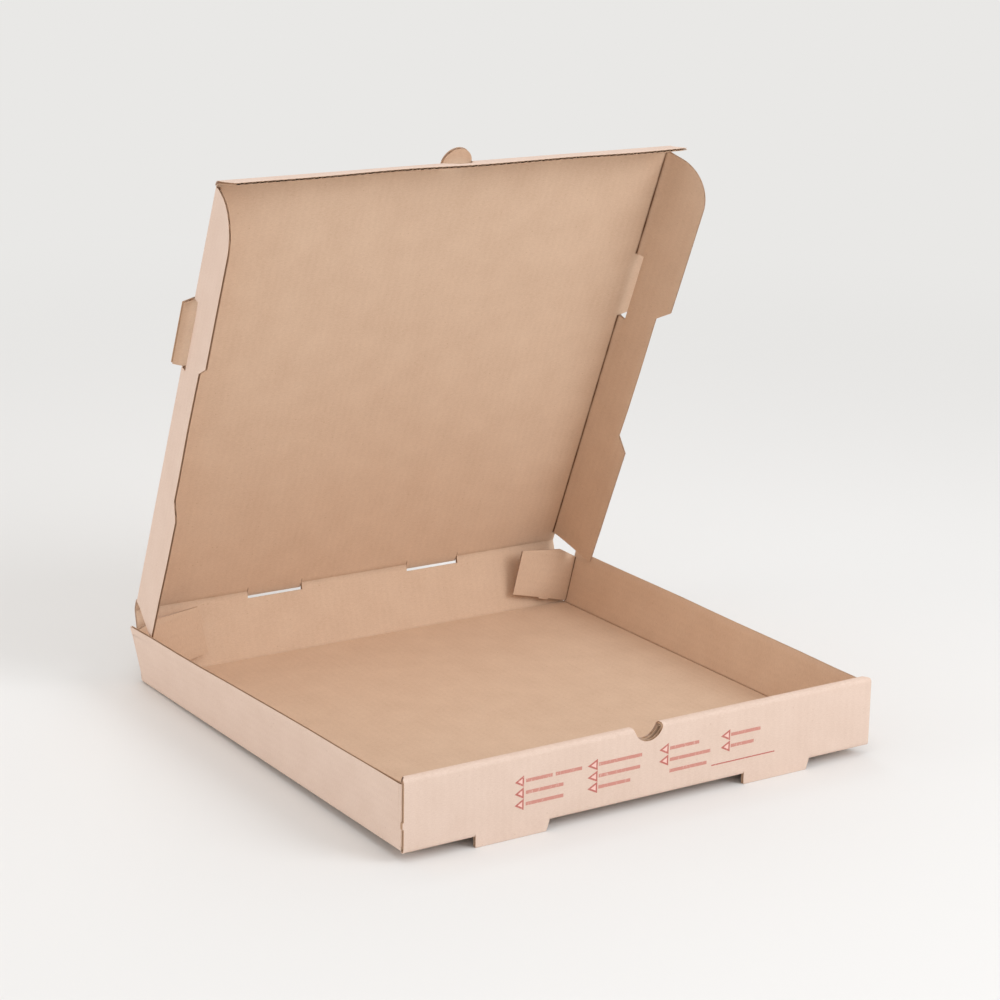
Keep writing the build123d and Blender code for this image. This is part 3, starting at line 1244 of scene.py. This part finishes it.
def frontPrint():
    bm = bmesh.new()
    rise = ink["triangleHeight"] / 2
    for left, right, rows in ink["columns"]:
        for middle in rows:
            corners = [(left, middle), (right, middle - rise), (right, middle + rise)]
            inkShape(bm, corners, strokeSlot, ink["stroke"])
    bars = [(*bar, ink["barHeight"], barSlot) for bar in ink["bars"]]
    bars.append((*ink["rule"], ink["ruleHeight"], strokeSlot))
    for left, right, middle, height, slot in bars:
        low = middle - height / 2
        high = middle + height / 2
        inkShape(bm, [(left, low), (right, low), (right, high), (left, high)], slot)
    bmesh.ops.recalc_face_normals(bm, faces=bm.faces)
    bmesh.ops.scale(bm, vec=(mm, mm, mm), verts=bm.verts)
    mesh = meshFrom(bm, "frontPrint")
    mesh.materials.append(inkMaterial("brickInk", ink["color"]))
    mesh.materials.append(inkMaterial("brickInkLines", ink["barColor"]))
    mesh.materials.append(inkMaterial("paleInk", ink["fillColor"]))
    piece = placed("frontPrint", mesh)
    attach(piece, "tray")


frontPrint()
print("print laid on")


studio = {
    "floorSize": 40.0,
    "floorColor": (231, 230, 228),
    "floorRoughness": 0.9,
    "floorGap": 0.0002,  # metres under the feet
    "backdrop": (233, 232, 230),  # what the far floor shows, past the lamps' reach
    "backdropStart": 0.5,
    "backdropEnd": 2.0,
    "worldColor": (1.0, 0.99, 0.98),
    "worldStrength": 0.66,
    "lamps": [  # place in metres, size, watts, colour
        ((1.3, -2.0, 1.5), 1.6, 33.0, (0.98, 1.0, 1.04)),
        ((-2.2, 0.5, 0.5), 1.4, 11.5, (1.03, 0.98, 0.95)),
        ((-0.5, -0.8, 2.3), 1.4, 9.0, (0.99, 1.0, 1.02)),
        ((0.3, 1.4, 2.2), 1.4, 9.0, (1.0, 1.0, 1.0)),
    ],
    "aim": (0.0, 0.0, 0.15),
}


def farFloor(tree, shader):
    # Away from the box the camera sees one pale colour, and the light stays as it is.
    place = tree.nodes.new("ShaderNodeTexCoord")
    length = tree.nodes.new("ShaderNodeVectorMath")
    length.operation = "LENGTH"
    tree.links.new(place.outputs["Object"], length.inputs[0])
    reach = tree.nodes.new("ShaderNodeMapRange")
    reach.interpolation_type = "SMOOTHSTEP"
    reach.inputs["From Min"].default_value = studio["backdropStart"]
    reach.inputs["From Max"].default_value = studio["backdropEnd"]
    tree.links.new(length.outputs["Value"], reach.inputs["Value"])
    path = tree.nodes.new("ShaderNodeLightPath")
    seen = mathNode(tree, "ADD", path.outputs["Is Camera Ray"], path.outputs["Is Glossy Ray"])
    seen = mathNode(tree, "ADD", seen, path.outputs["Is Transmission Ray"], clamp=True)
    glow = tree.nodes.new("ShaderNodeEmission")
    glow.inputs["Color"].default_value = srgb(*studio["backdrop"])
    mix = tree.nodes.new("ShaderNodeMixShader")
    tree.links.new(mathNode(tree, "MULTIPLY", seen, reach.outputs["Result"]), mix.inputs["Fac"])
    tree.links.new(shader.outputs["BSDF"], mix.inputs[1])
    tree.links.new(glow.outputs["Emission"], mix.inputs[2])
    output = next(node for node in tree.nodes if node.type == "OUTPUT_MATERIAL")
    tree.links.new(mix.outputs["Shader"], output.inputs["Surface"])


def floor():
    # The front feet lift the box, so it stands on them and on its rear edge.
    bm = bmesh.new()
    bmesh.ops.create_grid(bm, x_segments=1, y_segments=1, size=studio["floorSize"] / 2)
    depth = 2 * box["halfDepth"]
    tilt = asin(feet["height"] / depth)
    bmesh.ops.rotate(bm, cent=(0, 0, 0), matrix=Matrix.Rotation(tilt, 3, "X"), verts=bm.verts)
    drop = feet["height"] / 2 * mm + studio["floorGap"]
    bmesh.ops.translate(bm, vec=(0, 0, -drop), verts=bm.verts)
    mesh = meshFrom(bm, "studioFloor")
    material, tree, shader = nodeMaterial("paleFloor")
    shader.inputs["Base Color"].default_value = srgb(*studio["floorColor"])
    shader.inputs["Roughness"].default_value = studio["floorRoughness"]
    farFloor(tree, shader)
    mesh.materials.append(material)
    placed("studioFloor", mesh)


def lamps():
    for index, (place, size, power, color) in enumerate(studio["lamps"]):
        light = bpy.data.lights.new(f"softLamp{index}", "AREA")
        light.shape = "DISK"
        light.size = size
        light.energy = power
        light.color = color
        lamp = placed(light.name, light)
        lamp.location = place
        beam = Vector(studio["aim"]) - Vector(place)
        lamp.rotation_euler = beam.to_track_quat("-Z", "Y").to_euler()
    world = bpy.data.worlds.new("studioWorld")
    world.use_nodes = True
    background = world.node_tree.nodes["Background"]
    background.inputs["Color"].default_value = (*studio["worldColor"], 1)
    background.inputs["Strength"].default_value = studio["worldStrength"]
    bpy.context.scene.world = world


view = {
    "place": (-1.0758, -1.6474, 0.7180),  # metres
    "turn": (74.502, -0.914, -32.949),  # degrees
    "lens": 95.97,  # millimetres, as is the sensor's width
    "sensor": 36.0,
}


def camera():
    data = bpy.data.cameras.new("photoCamera")
    data.lens = view["lens"]
    data.sensor_width = view["sensor"]
    eye = placed("photoCamera", data)
    eye.location = view["place"]
    eye.rotation_euler = [radians(angle) for angle in view["turn"]]
    bpy.context.scene.camera = eye
    bpy.context.scene.view_settings.view_transform = "Standard"


floor()
lamps()
camera()
print("studio set up")
